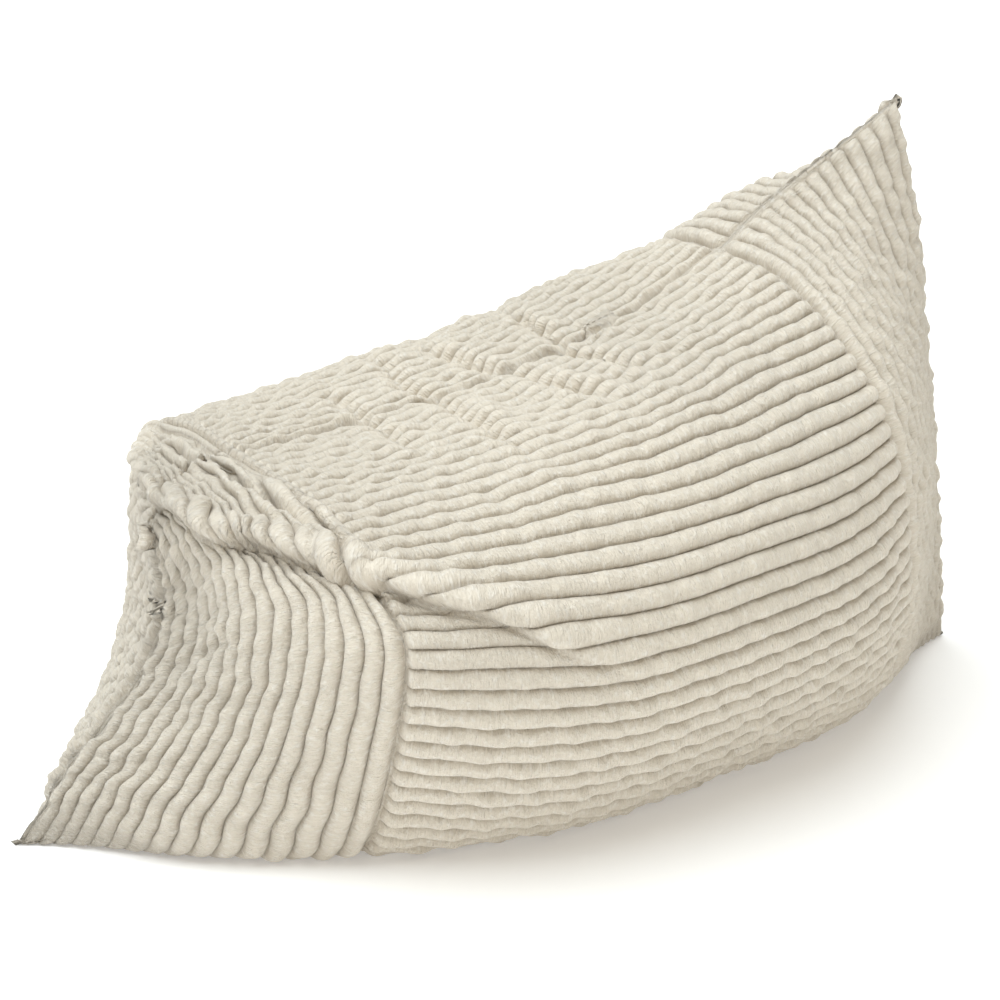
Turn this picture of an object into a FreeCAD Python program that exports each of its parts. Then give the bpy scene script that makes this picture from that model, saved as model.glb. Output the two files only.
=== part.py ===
# Bean bag lounger: a flat rectangular cushion cover stood on its long edge and filled with beads.
# Its rear upper corner stands up as the backrest peak, its front lower corner lies on the floor
# as a pointed ear. Each side of the cover is three sewn panels: front strip, body and rear strip.
# A zip runs up the rear closing seam, and a second zip behind it closes the bead liner.
#
# Millimetres. +Z is up, the sitter faces -Y, so the sitter's left is +X.
# The origin is on the floor, at the middle of the footprint's bounding box.
import FreeCAD, Part
import math
import os
from collections import namedtuple

import Sketcher
from FreeCAD import Placement, Rotation, Vector

SIZES = {
    # the filled bag as it stands
    "bag_length": (1390, "front ear to rear corner, along the floor"),
    "bag_width": (890, "across the widest part of the sides"),
    "seat_height": (430, "floor to the ridge seam at the seat"),
    "peak_height": (815, "floor to the tip of the backrest"),
    # the layers, from the outside in
    "cover_thickness": (12, "plush cord with its backing"),
    "liner_gap": (1, "cover to liner"),
    "liner_thickness": (1.5, "liner cloth"),
    "fill_gap": (1, "liner to beads"),
    "seam_allowance": (16, "folded liner cloth that carries the liner zip"),
    # both zips
    "zip_start": (110, "lower end of the zip, along the rear seam"),
    "zip_top_room": (227.84, "upper end of the zip to the tip, along the rear seam"),
    "tape_clearance": (0.8, "outer edge of a tape to the side of the recess"),
    "puller_clearance": (1.3, "end of the hanging puller to the lower end of the recess"),
    "recess_depth": (8, "rear seam face to the ledge that carries the tapes"),
    "channel_side_room": (1.5, "slider to each side of the channel under the tapes"),
    "channel_floor_room": (1.7, "slider to the floor of the channel"),
    "mouth_width": (3, "opening between the panels behind the zip"),
    "tape_width": (12, "one tape"),
    "tape_thickness": (0.8, "one tape"),
    "tape_split": (2.4, "gap between the two tapes"),
    "coil_width": (3, "one row of teeth"),
    "coil_height": (2.4, "one row of teeth"),
    "coil_split": (1.2, "gap between the two rows of teeth"),
    "stop_length": (3.4, "end stop, along the zip"),
    # slider and puller
    "slider_length": (15, "slider, along the zip"),
    "slider_width": (11, "slider, across"),
    "plate_thickness": (1.4, "upper and lower plate"),
    "flange_thickness": (1.3, "side flange of the upper plate"),
    "blade_thickness": (0.6, "post between the two rows of teeth"),
    "slide_clearance": (0.4, "slider to teeth and tape"),
    "bail_width": (2, "bail that holds the puller"),
    "bail_wall": (1.5, "bail metal"),
    "bar_diameter": (1.6, "puller crossbar"),
    "bar_clearance": (0.5, "crossbar to bail and plate"),
    "puller_width": (8, "pull tab"),
    "puller_length": (34, "crossbar to the end of the pull tab"),
    "puller_thickness": (1.4, "pull tab"),
    "puller_hole": (3.4, "hole near the end of the pull tab"),
}

# One upright section of the bag. Places are shares of the driving sizes, so that the whole bag
# follows them: along is cloth distance from the front closing seam, floor_y and ridge_y are where
# the section meets the floor and the ridge seam (1 is the rear corner, -1 the front ear), curl is
# 1 for a flat section and more where it bends towards the ear, rise is the ridge height between
# the seat (0) and the peak (1). wide is the half width at six points, the first two on the floor
# and the last at the crown, high is the level of the other four, and ridge_x is how far the ridge
# seam has slid to one side.
Station = namedtuple("Station", "along floor_y ridge_y curl rise wide high ridge_x")
STATIONS = [
    Station(0.000, -1.000, -0.777, 3.0, -0.180,
            (0.009, 0.010, 0.012, 0.018, 0.018, 0.013), (0.28, 0.56, 0.83, 0.94), 0.000),
    Station(0.066, -0.905, -0.750, 2.0, -0.100,
            (0.110, 0.150, 0.190, 0.250, 0.250, 0.150), (0.20, 0.56, 0.92, 1.00), -0.050),
    Station(0.154, -0.770, -0.680, 1.4, -0.080,
            (0.300, 0.370, 0.430, 0.550, 0.600, 0.290), (0.20, 0.60, 0.96, 1.00), -0.140),
    Station(0.253, -0.547, -0.568, 1.0, -0.080,
            (0.460, 0.560, 0.650, 0.830, 0.920, 0.450), (0.17, 0.60, 0.96, 1.01), -0.225),
    Station(0.412, -0.194, -0.295, 1.0, 0.000,
            (0.580, 0.720, 0.860, 1.040, 0.955, 0.430), (0.17, 0.60, 1.00, 1.03), -0.157),
    Station(0.577, 0.155, 0.036, 1.0, 0.160,
            (0.580, 0.720, 0.860, 1.025, 0.830, 0.370), (0.20, 0.66, 1.02, 1.01), -0.080),
    Station(0.742, 0.510, 0.295, 1.0, 0.390,
            (0.420, 0.560, 0.720, 0.900, 0.680, 0.250), (0.20, 0.64, 1.00, 1.01), -0.015),
    Station(0.835, 0.725, 0.468, 1.0, 0.600,
            (0.220, 0.330, 0.480, 0.640, 0.480, 0.135), (0.18, 0.60, 0.955, 0.98), 0.000),
    Station(0.923, 0.880, 0.619, 1.0, 0.805,
            (0.090, 0.140, 0.220, 0.330, 0.225, 0.067), (0.18, 0.55, 0.905, 0.96), 0.000),
    Station(1.000, 1.000, 0.791, 1.0, 1.000,
            (0.025, 0.034, 0.050, 0.054, 0.045, 0.018), (0.20, 0.54, 0.81, 0.97), 0.000),
]
FRONT_SEAM = 0.253  # along the cloth: front strip to body
REAR_SEAM = 0.790  # along the cloth: body to rear strip
STRIPS = {"front": (0, FRONT_SEAM), "body": (FRONT_SEAM, REAR_SEAM), "rear": (REAR_SEAM, 1)}

SECTION_DEGREE = 3
SECTION_KNOTS = [0, 0.25, 0.5, 0.75, 1]
SECTION_MULTS = [4, 1, 1, 1, 4]
FOOT_LIFT = 3  # rise of the second point of a section, so that the cloth leaves the floor at an angle
RIDGE_SLOPE = 1.25  # vertical drop for one thickness of cloth under the sloping ridge
FRONT_PULL = 1.6  # how far a layer's front end draws in for each millimetre of inset
REAR_PULL = 2.2  # the same at the rear, where the zip needs room
PULL_FADE = 4  # power by which that drawing in fades out towards the middle of the bag
END_DROP = 0.7  # how far the ridge drops for each millimetre that a section draws in
END_NARROWING = 0.15  # how much narrower each side of an end is for each millimetre of inset
SEWING = 0.01  # edges closer than this are one edge
MARGIN = 60  # cutting tools reach this far past what they cut
SIDES = {"left": 1, "right": -1}

os.makedirs("parts", exist_ok=True)
doc = FreeCAD.newDocument("bean_bag_lounger")
sheet = doc.addObject("Spreadsheet::Sheet", "sizes")


def fill_sheet():
    """Write each driving size on its own row: name, value, note."""
    for row, (name, (value, note)) in enumerate(SIZES.items(), start=1):
        sheet.set(f"A{row}", name)
        sheet.set(f"B{row}", str(value))
        sheet.set(f"C{row}", note)
        sheet.setAlias(f"B{row}", name)
    doc.recompute()


def size(name):
    """A driving size, read from the sheet."""
    return float(sheet.get(name))


def bind(thing, prop, expression):
    """Bind a property to sheet cells, which the expression names in braces, as in {bag_width}."""
    names = {name: f"sizes.{name}" for name in SIZES}
    thing.setExpression(prop, expression.format(**names))


def node(thing, label):
    """Mark an object as one physical piece; its label names its file."""
    thing.Label = label
    pieces.append(thing)
    return thing


# ---------------------------------------------------------------- curved layers

Layer = namedtuple("Layer", "inset front_pull rear_pull")


def layers():
    """The nested surfaces of the bag, each a little inside the one before."""
    cover = size("cover_thickness")
    liner = cover + size("liner_gap")
    inside = liner + size("liner_thickness")
    fill = inside + size("fill_gap")
    allowance = size("seam_allowance")
    return {
        "cover_outside": Layer(0, 0, 0),
        "cover_inside": Layer(cover, FRONT_PULL * cover, REAR_PULL * cover),
        "liner_outside": Layer(liner, FRONT_PULL * liner, REAR_PULL * liner),
        "liner_inside": Layer(inside, FRONT_PULL * inside, REAR_PULL * inside + allowance),
        "fill": Layer(fill, FRONT_PULL * fill, REAR_PULL * fill + allowance),
    }


def ridge_height(rise):
    return size("seat_height") + rise * (size("peak_height") - size("seat_height"))


def section_y(station, height):
    """Where a section stands along the bag at a height."""
    share = min(max(height / ridge_height(station.rise), 0), 1)
    bend = 1 - (1 - share) ** station.curl
    return (station.floor_y + (station.ridge_y - station.floor_y) * bend) * size("bag_length") / 2


def end_pull(station, layer):
    """How far a layer's section draws in towards the middle of the bag, positive to the rear."""
    from_middle = 2 * station.along - 1
    pull = layer.front_pull if from_middle < 0 else -layer.rear_pull
    return pull * abs(from_middle) ** PULL_FADE


def section_poles(station, side, layer):
    """Poles of half a section, from where it leaves the floor up to the ridge seam.

    side is 1 for the left, -1 for the right and 0 for the sheet between the two halves.
    """
    at_end = station in (STATIONS[0], STATIONS[-1])
    pull = end_pull(station, layer)
    drop = layer.inset * RIDGE_SLOPE + abs(pull) * END_DROP
    inset = layer.inset * (END_NARROWING if at_end else 1)
    half = size("bag_width") / 2
    ridge = ridge_height(station.rise)
    ridge_x = station.ridge_x * half
    contact, foot, low, middle, high, crown = [share * half - inset for share in station.wide]
    low_z, middle_z, high_z, crown_z = [share * ridge for share in station.high]
    half_section = [
        (side * contact, layer.inset),
        (side * foot, layer.inset + FOOT_LIFT),
        (side * low, low_z + layer.inset / 2),
        (side * middle, middle_z - drop / 2),
        (side * high, high_z - drop),
        (side * crown + ridge_x, crown_z - drop),
        (ridge_x, ridge - drop),
    ]
    if side == 0:
        last = len(half_section) - 1
        half_section = [(ridge_x * index / last, z) for index, (_, z) in enumerate(half_section)]
    return [Vector(x, section_y(station, z) + pull, z) for x, z in half_section]


def patch(side, layer):
    """One side of a layer: a smooth surface through all the sections."""
    sections = [section_poles(station, side, layer) for station in STATIONS]
    net = []
    for row in zip(*sections):
        line = Part.BSplineCurve()
        line.interpolate(Points=list(row), Parameters=[station.along for station in STATIONS])
        net.append(line.getPoles())
    surface = Part.BSplineSurface()
    surface.buildFromPolesMultsKnots(
        net, SECTION_MULTS, line.getMultiplicities(), SECTION_KNOTS, line.getKnots(),
        False, False, SECTION_DEGREE, line.Degree,
    )
    return surface


def sewn(faces):
    """One closed solid from the faces around it."""
    skin = Part.Compound(faces)
    skin.sewShape(SEWING)
    solid = Part.makeSolid(skin.Shells[0])
    if solid.Volume < 0:
        solid.reverse()
    return solid


def ruled(first, second):
    return Part.makeRuledSurface(first, second)


def floor_face(first, second, start, stop):
    """The flat face on the floor between the lower edges of two patches."""
    one = first.uIso(0).toShape(start, stop)
    two = second.uIso(0).toShape(start, stop)
    ends = [Part.makeLine(first.value(0, place), second.value(0, place)) for place in (start, stop)]
    return Part.Face(Part.Wire(Part.__sortEdges__([one, two, *ends])))


def block(label, layer):
    """A closed solid of everything inside a layer."""
    left = patch(1, layer)
    right = patch(-1, layer)
    faces = [left.toShape(), right.toShape(), floor_face(left, right, 0, 1)]
    faces += [ruled(left.vIso(end).toShape(), right.vIso(end).toShape()) for end in (0, 1)]
    thing = doc.addObject("Part::Feature", label)
    thing.Shape = sewn(faces)
    return thing


def panel(label, side, outside, inside, strip):
    """One panel of cloth: the room between two layers, on one side, over one strip of the length."""
    start, stop = strip
    outer = patch(side, outside)
    inner = patch(side, inside)
    outer_middle = patch(0, outside)
    inner_middle = patch(0, inside)
    faces = [outer.toShape(0, 1, start, stop), inner.toShape(0, 1, start, stop)]
    faces += [floor_face(outer, outer_middle, start, stop), floor_face(inner, inner_middle, start, stop)]
    for edge in (0, 1):  # the bottom seam and the ridge seam
        faces.append(ruled(outer_middle.uIso(edge).toShape(start, stop),
                           inner_middle.uIso(edge).toShape(start, stop)))
    for place in strip:
        if place in (0, 1):  # a closing seam, where the two sides of the bag meet
            skins = (outer, outer_middle, inner_middle, inner)
            rims = [skin.vIso(place).toShape() for skin in skins]
            faces += [ruled(first, second) for first, second in zip(rims, rims[1:])]
        else:
            faces += seam_faces(outer, outer_middle, inner, inner_middle, place)
    thing = doc.addObject("Part::Feature", label)
    thing.Shape = sewn(faces)
    return thing


def seam_faces(outer, outer_middle, inner, inner_middle, place):
    """The cut edge of a panel at a seam across the bag: up the side, and under the floor part."""
    floor_part = Part.makePolygon([
        outer_middle.value(0, place), outer.value(0, place),
        inner.value(0, place), inner_middle.value(0, place), outer_middle.value(0, place),
    ])
    return [ruled(outer.vIso(place).toShape(), inner.vIso(place).toShape()), Part.Face(floor_part)]


def boolean(kind, label, base, tool):
    thing = doc.addObject(kind, label)
    thing.Base = base
    thing.Tool = tool
    return thing


# ---------------------------------------------------------------- panels


def make_cover(nest):
    """Six panels: front strip, body and rear strip on each side."""
    outside = nest["cover_outside"]
    inside = nest["cover_inside"]
    recess = zip_recess("zip_recess", outside, inside)
    for name, side in SIDES.items():
        for where in ("front", "body"):
            cloth = panel(f"{where}_{name}", side, outside, inside, STRIPS[where])
            node(cloth, f"{where}_panel_{name}")
        cloth = panel(f"rear_{name}_uncut", side, outside, inside, STRIPS["rear"])
        node(boolean("Part::Cut", f"rear_{name}", cloth, recess), f"rear_panel_{name}")


def make_liner(nest):
    """Two halves of the bead liner, with the liner zip between them."""
    outside = nest["liner_outside"]
    inside = nest["liner_inside"]
    recess = zip_recess("liner_zip_recess", outside, inside)
    for name, side in SIDES.items():
        cloth = panel(f"liner_{name}_uncut", side, outside, inside, (0, 1))
        node(boolean("Part::Cut", f"liner_{name}_half", cloth, recess), f"liner_{name}")


def make_fill(nest):
    """All the beads as one closed solid."""
    node(block("beads", nest["fill"]), "bean_fill")


# ---------------------------------------------------------------- zips
# A zip is built in its own axes: X across the tapes, Y out of the bag, Z up along the seam.


def seam_frame(layer):
    """The axes of a layer's rear closing seam: its foot on the floor and its lean."""
    rear = STATIONS[-1]
    foot = section_y(rear, 0)
    lean = math.degrees(math.atan2(foot - section_y(rear, size("peak_height")), size("peak_height")))
    return Placement(Vector(0, foot - layer.rear_pull, 0), Rotation(Vector(1, 0, 0), lean))


def seam_box(label, frame, across, outward, upward, corner):
    """A box in seam axes; across, outward and upward are expressions for its sides."""
    box = doc.addObject("Part::Box", label)
    bind(box, "Length", across)
    bind(box, "Width", outward)
    bind(box, "Height", upward)
    box.Placement = frame.multiply(Placement(Vector(*corner), Rotation()))
    return box


def union(label, parts):
    thing = doc.addObject("Part::MultiFuse", label)
    thing.Shapes = parts
    return thing


def zip_recess(label, outside, inside):
    """What is cut from both sides for a zip: recess, slider channel and the mouth behind them."""
    frame = seam_frame(outside)
    depth = size("recess_depth")
    half = size("tape_split") / 2 + size("tape_width") + size("tape_clearance")
    start = size("zip_start")
    foot = puller_axis() - size("puller_length") - size("puller_clearance")
    recess = seam_box(
        f"{label}_pocket", frame, "{tape_split} + 2 * {tape_width} + 2 * {tape_clearance}",
        f"{{recess_depth}} + {MARGIN}", f"{{zip_start}} + {zip_length()} - {foot}",
        (-half, -depth, foot),
    )
    half = size("slider_width") / 2 + size("channel_side_room")
    under = size("slide_clearance") + size("plate_thickness") + size("channel_floor_room")
    channel = seam_box(
        f"{label}_channel", frame, "{slider_width} + 2 * {channel_side_room}",
        f"{under} + {MARGIN}", f"{zip_length()}", (-half, -depth - under, start),
    )
    through = inside.rear_pull - outside.rear_pull + MARGIN
    mouth = seam_box(
        f"{label}_mouth", frame, "{mouth_width}", f"{through}", f"{zip_length()}",
        (-size("mouth_width") / 2, -through, start),
    )
    return union(label, [recess, channel, mouth])


def zip_levels():
    """Levels of a zip's pieces below the seam face."""
    ledge = -size("recess_depth")
    tape_top = ledge + size("tape_thickness")
    coil_top = tape_top + size("coil_height")
    plate_bottom = coil_top + size("slide_clearance")
    return ledge, tape_top, coil_top, plate_bottom


def make_zip(prefix, layer, with_puller):
    """Tapes, rows of teeth, stops and slider of one zip, closed with its slider at the lower end."""
    frame = seam_frame(layer)
    ledge, tape_top, coil_top, _ = zip_levels()
    start = size("zip_start")
    stop = size("stop_length")
    for name, side in SIDES.items():
        inner = side * size("tape_split") / 2
        tape = seam_box(
            f"{prefix}_tape_{name}_box", frame, "{tape_width}", "{tape_thickness}", f"{zip_length()}",
            (min(inner, inner + side * size("tape_width")), ledge, start),
        )
        node(tape, f"{prefix}_tape_{name}")
        inner = side * size("coil_split") / 2
        coil = seam_box(
            f"{prefix}_coil_{name}_box", frame, "{coil_width}", "{coil_height}",
            f"{zip_length()} - 2 * {{stop_length}}",
            (min(inner, inner + side * size("coil_width")), tape_top, start + stop),
        )
        node(coil, f"{prefix}_coil_{name}")
    across = size("coil_split") + 2 * size("coil_width")
    bottom_stop = seam_box(
        f"{prefix}_bottom_stop_box", frame, "{coil_split} + 2 * {coil_width}", "{coil_height}",
        "{stop_length}", (-across / 2, tape_top, start),
    )
    node(bottom_stop, f"{prefix}_bottom_stop")
    top_stops = doc.addObject("Part::Compound", f"{prefix}_top_stop_pair")
    top_stops.Links = [
        seam_box(
            f"{prefix}_top_stop_{name}", frame, "{coil_width}", "{coil_height}", "{stop_length}",
            (min(side * size("coil_split") / 2, side * across / 2), tape_top,
             start + zip_length() - stop),
        )
        for name, side in SIDES.items()
    ]
    node(top_stops, f"{prefix}_top_stops")
    make_slider(prefix, frame, with_puller)
    if with_puller:
        make_puller(prefix, frame)


def zip_length():
    """Tape length: the rear seam less the room below and above the zip."""
    rear = STATIONS[-1]
    lean = section_y(rear, 0) - section_y(rear, size("peak_height"))
    return math.hypot(lean, size("peak_height")) - size("zip_start") - size("zip_top_room")


def slider_foot():
    """Lower end of a closed zip's slider, along the seam."""
    return size("zip_start") + size("stop_length") + size("slide_clearance")


def puller_axis():
    """Height of the puller's crossbar along the seam, with the zip closed."""
    return slider_foot() + size("slider_length") / 2


def bar_level():
    """Middle of the puller's crossbar, above the upper plate and clear of it."""
    plate_top = zip_levels()[3] + size("plate_thickness")
    return plate_top + size("bar_clearance") + size("bar_diameter") / 2


def make_slider(prefix, frame, with_bail):
    """Two plates with a blade between the rows of teeth, side flanges and the puller's bail."""
    ledge, tape_top, coil_top, plate_bottom = zip_levels()
    foot = slider_foot()
    length = size("slider_length")
    width = size("slider_width")
    under = ledge - size("slide_clearance") - size("plate_thickness")
    plates = [
        seam_box(f"{prefix}_plate_{name}", frame, "{slider_width}", "{plate_thickness}",
                 "{slider_length}", (-width / 2, level, foot))
        for name, level in (("lower", under), ("upper", plate_bottom))
    ]
    flange_depth = coil_top - tape_top
    flanges = [
        seam_box(f"{prefix}_flange_{name}", frame, "{flange_thickness}", "{coil_height}",
                 "{slider_length}",
                 (min(side * width / 2, side * (width / 2 - size("flange_thickness"))),
                  plate_bottom - flange_depth + size("slide_clearance"), foot))
        for name, side in SIDES.items()
    ]
    blade = seam_box(
        f"{prefix}_blade", frame, "{blade_thickness}",
        "{tape_thickness} + {coil_height} + 2 * {slide_clearance} + {plate_thickness}",
        "{slider_length} / 4",
        (-size("blade_thickness") / 2, under + size("plate_thickness") / 2, foot + length * 3 / 4),
    )
    parts = plates + flanges + [blade]
    if with_bail:
        parts.append(make_bail(prefix, frame, puller_axis()))
    body = union(f"{prefix}_slider_body", parts)
    body.Refine = True
    node(body, f"{prefix}_slider")


def make_bail(prefix, frame, middle):
    """The loop on the upper plate that the puller's crossbar turns in."""
    bar_room = size("bar_diameter") + 2 * size("bar_clearance")
    wall = size("bail_wall")
    plate_top = zip_levels()[3] + size("plate_thickness")
    room = "({bar_diameter} + 2 * {bar_clearance})"
    outer = seam_box(
        f"{prefix}_bail_outer", frame, "{bail_width}", f"{room} + {{bail_wall}}",
        f"{room} + 2 * {{bail_wall}}",
        (-size("bail_width") / 2, plate_top, middle - bar_room / 2 - wall),
    )
    inner = seam_box(
        f"{prefix}_bail_inner", frame, "{bail_width} * 2", room, room,
        (-size("bail_width"), plate_top, middle - bar_room / 2),
    )
    return boolean("Part::Cut", f"{prefix}_bail", outer, inner)


def make_puller(prefix, frame):
    """A crossbar through the bail, two arms beside it and a pull tab that hangs down the zip."""
    body = doc.addObject("PartDesign::Body", f"{prefix}_puller_body")
    plane = [item for item in body.Origin.OriginFeatures if item.Role == "XZ_Plane"][0]
    window = size("bail_width") / 2 + size("bar_clearance")
    bail_half = size("bar_diameter") / 2 + size("bar_clearance") + size("bail_wall")
    reach = math.hypot(bail_half, bail_half) + size("bar_clearance")  # clears the bail's corner
    outline = body.newObject("Sketcher::SketchObject", f"{prefix}_puller_outline")
    outline.AttachmentSupport = [(plane, "")]
    outline.MapMode = "FlatFace"
    half = size("puller_width") / 2
    top = size("bar_diameter") / 2
    tip = -size("puller_length")
    rounding = half * 0.6
    draw_outline(outline, half, top, tip, rounding)
    draw_window(outline, window, -top, -reach)
    outline.addGeometry(Part.Circle(Vector(0, tip + half, 0), Vector(0, 0, 1), size("puller_hole") / 2))
    tab = body.newObject("PartDesign::Pad", f"{prefix}_puller_pad")
    tab.Profile = outline
    tab.Midplane = True
    bind(tab, "Length", "{puller_thickness}")
    body.Placement = frame.multiply(Placement(Vector(0, bar_level(), puller_axis()), Rotation()))
    body.Tip = tab
    node(body, f"{prefix}_puller")


def draw_outline(sketch, half, top, tip, rounding):
    """The puller's outer shape: a tab with a rounded end."""
    arc_centre = tip + rounding
    side = half - rounding
    right = [Vector(half, top, 0), Vector(half, arc_centre, 0)]
    left = [Vector(-half, arc_centre, 0), Vector(-half, top, 0)]
    sketch.addGeometry(Part.LineSegment(left[1], right[0]))
    sketch.addGeometry(Part.LineSegment(*right))
    corner = Part.Circle(Vector(side, arc_centre, 0), Vector(0, 0, 1), rounding)
    sketch.addGeometry(Part.ArcOfCircle(corner, -math.pi / 2, 0))
    sketch.addGeometry(Part.LineSegment(Vector(side, tip, 0), Vector(-side, tip, 0)))
    corner = Part.Circle(Vector(-side, arc_centre, 0), Vector(0, 0, 1), rounding)
    sketch.addGeometry(Part.ArcOfCircle(corner, -math.pi, -math.pi / 2))
    sketch.addGeometry(Part.LineSegment(*left))


def draw_window(sketch, half, top, bottom):
    """The window between the puller's arms, which the bail stands in."""
    corners = [Vector(-half, top, 0), Vector(half, top, 0), Vector(half, bottom, 0), Vector(-half, bottom, 0)]
    for first, second in zip(corners, corners[1:] + corners[:1]):
        sketch.addGeometry(Part.LineSegment(first, second))


# ---------------------------------------------------------------- build and write


def check_document():
    """Stop if any object failed or any piece has no valid solid."""
    for thing in doc.Objects:
        if {"Invalid", "Error"} & set(thing.State):
            raise RuntimeError(f"{thing.Name} failed: {thing.State}")
    for thing in pieces:
        if thing.Shape.isNull() or not thing.Shape.isValid() or not thing.Shape.Solids:
            raise RuntimeError(f"{thing.Label} has no valid solid")


def write_pieces():
    for thing in pieces:
        thing.Shape.exportStep(f"parts/{thing.Label}.step")
        print(f"{thing.Label}: {len(thing.Shape.Solids)} solid, {thing.Shape.Volume / 1000:.2f} cm3")


pieces = []
fill_sheet()
nest = layers()
make_cover(nest)
make_liner(nest)
make_fill(nest)
make_zip("zip", nest["cover_outside"], with_puller=True)
make_zip("liner_zip", nest["liner_outside"], with_puller=False)
doc.recompute()
check_document()
write_pieces()
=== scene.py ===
"""Looks of a plush cord bean bag lounger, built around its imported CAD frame."""

import math
from collections import namedtuple

import bmesh
import bpy
import numpy as np
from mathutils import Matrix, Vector


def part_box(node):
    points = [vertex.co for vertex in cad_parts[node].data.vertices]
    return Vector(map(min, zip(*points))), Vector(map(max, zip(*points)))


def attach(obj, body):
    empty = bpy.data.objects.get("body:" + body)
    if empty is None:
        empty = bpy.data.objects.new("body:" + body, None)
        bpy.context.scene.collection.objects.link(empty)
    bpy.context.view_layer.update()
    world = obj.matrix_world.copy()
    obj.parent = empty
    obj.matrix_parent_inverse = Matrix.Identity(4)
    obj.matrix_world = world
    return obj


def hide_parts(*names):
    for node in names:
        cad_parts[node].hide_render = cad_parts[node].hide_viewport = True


bl_info = {
    "name": "Bean Bag Lounger",
    "version": (1, 0, 0),
    "blender": (4, 5, 0),
    "location": "3D View > Sidebar > Lounger",
    "description": "Builds a plush cord bean bag lounger piece by piece",
    "category": "Add Mesh",
}

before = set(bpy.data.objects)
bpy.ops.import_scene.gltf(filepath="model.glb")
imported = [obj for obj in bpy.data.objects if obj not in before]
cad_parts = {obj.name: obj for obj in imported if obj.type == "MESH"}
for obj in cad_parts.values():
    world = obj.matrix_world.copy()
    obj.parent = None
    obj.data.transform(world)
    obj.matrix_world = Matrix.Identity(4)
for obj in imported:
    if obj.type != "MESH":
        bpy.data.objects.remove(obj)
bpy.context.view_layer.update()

# ---------------------------------------------------------------- sizes of the bag, metres
BAG_LENGTH = 1.390
BAG_WIDTH = 0.890
SEAT_HEIGHT = 0.430
PEAK_HEIGHT = 0.815
FRONT_SEAM = 0.253
REAR_SEAM = 0.790
FOOT_LIFT = 0.003
COVER_THICKNESS = 0.012
CLOTH_LENGTH = 1.64
CLOTH_GIRTH = 1.20
SIDES = {"left": 1, "right": -1}

# Each station is one cross section of the bag: its share of the way from front to rear, where
# its foot and its ridge lie along Y, how it curls between them, its height and half outline.
Station = namedtuple("Station", "along floor_y ridge_y curl rise wide high ridge_x")
STATIONS = [
    Station(0.000, -1.000, -0.777, 3.0, -0.180,
            (0.009, 0.010, 0.012, 0.018, 0.018, 0.013), (0.28, 0.56, 0.83, 0.94), 0.000),
    Station(0.066, -0.905, -0.750, 2.0, -0.100,
            (0.110, 0.150, 0.190, 0.250, 0.250, 0.150), (0.20, 0.56, 0.92, 1.00), -0.050),
    Station(0.154, -0.770, -0.680, 1.4, -0.080,
            (0.300, 0.370, 0.430, 0.550, 0.600, 0.290), (0.20, 0.60, 0.96, 1.00), -0.140),
    Station(0.253, -0.547, -0.568, 1.0, -0.080,
            (0.460, 0.560, 0.650, 0.830, 0.920, 0.450), (0.17, 0.60, 0.96, 1.01), -0.225),
    Station(0.412, -0.194, -0.295, 1.0, 0.000,
            (0.580, 0.720, 0.860, 1.040, 0.955, 0.430), (0.17, 0.60, 1.00, 1.03), -0.157),
    Station(0.577, 0.155, 0.036, 1.0, 0.160,
            (0.580, 0.720, 0.860, 1.025, 0.830, 0.370), (0.20, 0.66, 1.02, 1.01), -0.080),
    Station(0.742, 0.510, 0.295, 1.0, 0.390,
            (0.420, 0.560, 0.720, 0.900, 0.680, 0.250), (0.20, 0.64, 1.00, 1.01), -0.015),
    Station(0.835, 0.725, 0.468, 1.0, 0.600,
            (0.220, 0.330, 0.480, 0.640, 0.480, 0.135), (0.18, 0.60, 0.955, 0.98), 0.000),
    Station(0.923, 0.880, 0.619, 1.0, 0.805,
            (0.090, 0.140, 0.220, 0.330, 0.225, 0.067), (0.18, 0.55, 0.905, 0.96), 0.000),
    Station(1.000, 1.000, 0.791, 1.0, 1.000,
            (0.025, 0.034, 0.050, 0.054, 0.045, 0.018), (0.20, 0.54, 0.81, 0.97), 0.000),
]

# ---------------------------------------------------------------- the grid the cloth is worked on
ALONG_CELLS = 400
AROUND_CELLS = 400
ALONG = np.linspace(0, 1, ALONG_CELLS + 1)
AROUND = np.linspace(0, 1, AROUND_CELLS + 1)
A, W = np.meshgrid(ALONG, AROUND, indexing="ij")
RIB_STEPS = (0.0, 0.05, 0.13, 0.25, 0.40, 0.5, 0.60, 0.75, 0.87, 0.95)
SIM_ALONG = 110
SIM_AROUND = 84
SIM_FRAMES = 14

# Folds in the cloth, each a path of (along, around) points with the reach of its two lips.
# `side` is the half it lies on, `over` how far the upper lip hangs over, `bulge` how far it
# stands out, `depth` how far the cloth below it draws in, `reach` the width of the lip.
Fold = namedtuple("Fold", "side path over bulge depth reach fade")
FOLDS = [
    Fold(1, ((0.075, 1.04), (0.095, 0.968), (0.115, 0.84), (0.143, 0.775), (0.177, 0.75),
             (0.205, 0.705), (0.233, 0.667), (0.263, 0.632), (0.307, 0.588), (0.340, 0.568),
             (0.378, 0.535), (0.408, 0.517), (0.438, 0.495), (0.470, 0.478)),
         0.030, 0.018, 0.020, 0.022, (0.02, 0.40)),
    Fold(-1, ((0.075, 1.04), (0.095, 0.968), (0.115, 0.86), (0.143, 0.80), (0.177, 0.77),
              (0.205, 0.745), (0.233, 0.71), (0.263, 0.68), (0.31, 0.65)),
         0.018, 0.014, 0.018, 0.024, (0.02, 0.35)),
]
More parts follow.
